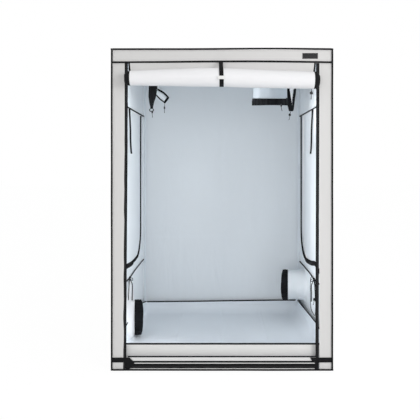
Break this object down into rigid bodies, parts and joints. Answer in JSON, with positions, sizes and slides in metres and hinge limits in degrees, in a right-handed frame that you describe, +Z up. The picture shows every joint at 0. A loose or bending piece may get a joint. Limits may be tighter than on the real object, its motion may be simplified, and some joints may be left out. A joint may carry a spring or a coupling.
{
  "type": "indoor grow tent",
  "caption": "Square fabric grow tent on a steel pole frame, with a front door rolled up, side flaps, duct sleeves, cable ports and a spill tray.",
  "frame": {"origin": "centre of the floor panel's underside, where the tent stands on the ground", "axes": "+Z up, -Y out of the open front, +X to the right seen from the front"},
  "size_m": [1.5198, 1.6457, 2.2],
  "materials": {
    "outer_canvas": "light grey woven canvas outside, pale reflective lining inside",
    "white_lining": "smooth white coated cloth",
    "tray_sheet": "coated watertight sheet, satin",
    "black_trim": "black woven webbing, zip tape and piping",
    "label_plate": "plain black woven label",
    "white_plastic": "white moulded buckle",
    "coated_steel": "white powder coated tube",
    "black_metal": "black enamelled zip metal"
  },
  "bodies": {
    "tent": {"floor_panel": "outer_canvas", "roof_panel": "outer_canvas", "back_wall": "outer_canvas", "left_wall": "outer_canvas", "right_wall": "outer_canvas", "front_header": "outer_canvas", "front_pillar_left": "outer_canvas", "front_pillar_right": "outer_canvas", "front_sill": "outer_canvas", "door_curtain": "outer_canvas", "roof_sleeve": "white_lining", "left_sleeve": "white_lining", "right_sleeve": "white_lining", "vent_cover": "white_lining", "spill_tray": "tray_sheet", "piping_front": "black_trim", "piping_back": "black_trim", "zip_tape_left": "black_trim", "zip_tape_right": "black_trim", "zip_tape_bottom": "black_trim", "side_zip_left": "black_trim", "side_zip_right": "black_trim", "corner_webbing_left": "black_trim", "corner_webbing_right": "black_trim", "door_strap_upper": "black_trim", "cable_sock_left": "black_trim", "cable_sock_right": "black_trim", "cable_collar": "black_trim", "header_label": "label_plate", "strap_buckle": "white_plastic", "post_front_left": "coated_steel", "post_front_right": "coated_steel", "post_back_left": "coated_steel", "post_back_right": "coated_steel", "bottom_bar_front": "coated_steel", "bottom_bar_back": "coated_steel", "bottom_bar_left": "coated_steel", "bottom_bar_right": "coated_steel", "top_bar_front": "coated_steel", "top_bar_back": "coated_steel", "top_bar_left": "coated_steel", "top_bar_right": "coated_steel", "connector_bottom_front_left": "coated_steel", "connector_bottom_front_right": "coated_steel", "connector_bottom_back_left": "coated_steel", "connector_bottom_back_right": "coated_steel", "connector_top_front_left": "coated_steel", "connector_top_front_right": "coated_steel", "connector_top_back_left": "coated_steel", "connector_top_back_right": "coated_steel"},
    "front_door": {"door_roll": "white_lining", "door_strap_lower": "black_trim"},
    "side_flap_left": {"side_door_left": "outer_canvas"},
    "side_flap_right": {"side_door_right": "outer_canvas"},
    "slider_left": {"zip_slider_left": "black_metal"},
    "slider_right": {"zip_slider_right": "black_metal"},
    "pull_left": {"zip_pull_left": "black_metal"},
    "pull_right": {"zip_pull_right": "black_metal"},
    "light_bar_front": {"hanging_bar_front": "coated_steel"},
    "light_bar_back": {"hanging_bar_back": "coated_steel"}
  },
  "joints": [
    {"name": "front_door_unroll", "type": "slide", "parent": "tent", "child": "front_door", "axis": [0, 0, -1], "range_m": [0, 1.9], "deforming": ["door_curtain"]},
    {"name": "side_flap_left_swing", "type": "hinge", "parent": "tent", "child": "side_flap_left", "pos_m": [-0.75, 0, 1.846], "axis": [0, 1, 0], "range_deg": [0, 110]},
    {"name": "side_flap_right_swing", "type": "hinge", "parent": "tent", "child": "side_flap_right", "pos_m": [0.75, 0, 1.846], "axis": [0, -1, 0], "range_deg": [0, 110]},
    {"name": "zip_left_run", "type": "slide", "parent": "tent", "child": "slider_left", "axis": [0, 0, -1], "range_m": [0, 1.74]},
    {"name": "zip_right_run", "type": "slide", "parent": "tent", "child": "slider_right", "axis": [0, 0, -1], "range_m": [0, 1.74]},
    {"name": "pull_left_swing", "type": "hinge", "parent": "slider_left", "child": "pull_left", "pos_m": [-0.6542, -0.7557, 1.8722], "axis": [-1, 0, 0], "range_deg": [0, 90]},
    {"name": "pull_right_swing", "type": "hinge", "parent": "slider_right", "child": "pull_right", "pos_m": [0.6542, -0.7557, 1.8722], "axis": [-1, 0, 0], "range_deg": [0, 90]},
    {"name": "light_bar_front_slide", "type": "slide", "parent": "tent", "child": "light_bar_front", "axis": [0, 1, 0], "range_m": [-0.24, 0.08]},
    {"name": "light_bar_back_slide", "type": "slide", "parent": "tent", "child": "light_bar_back", "axis": [0, 1, 0], "range_m": [-0.08, 0.24]}
  ]
}
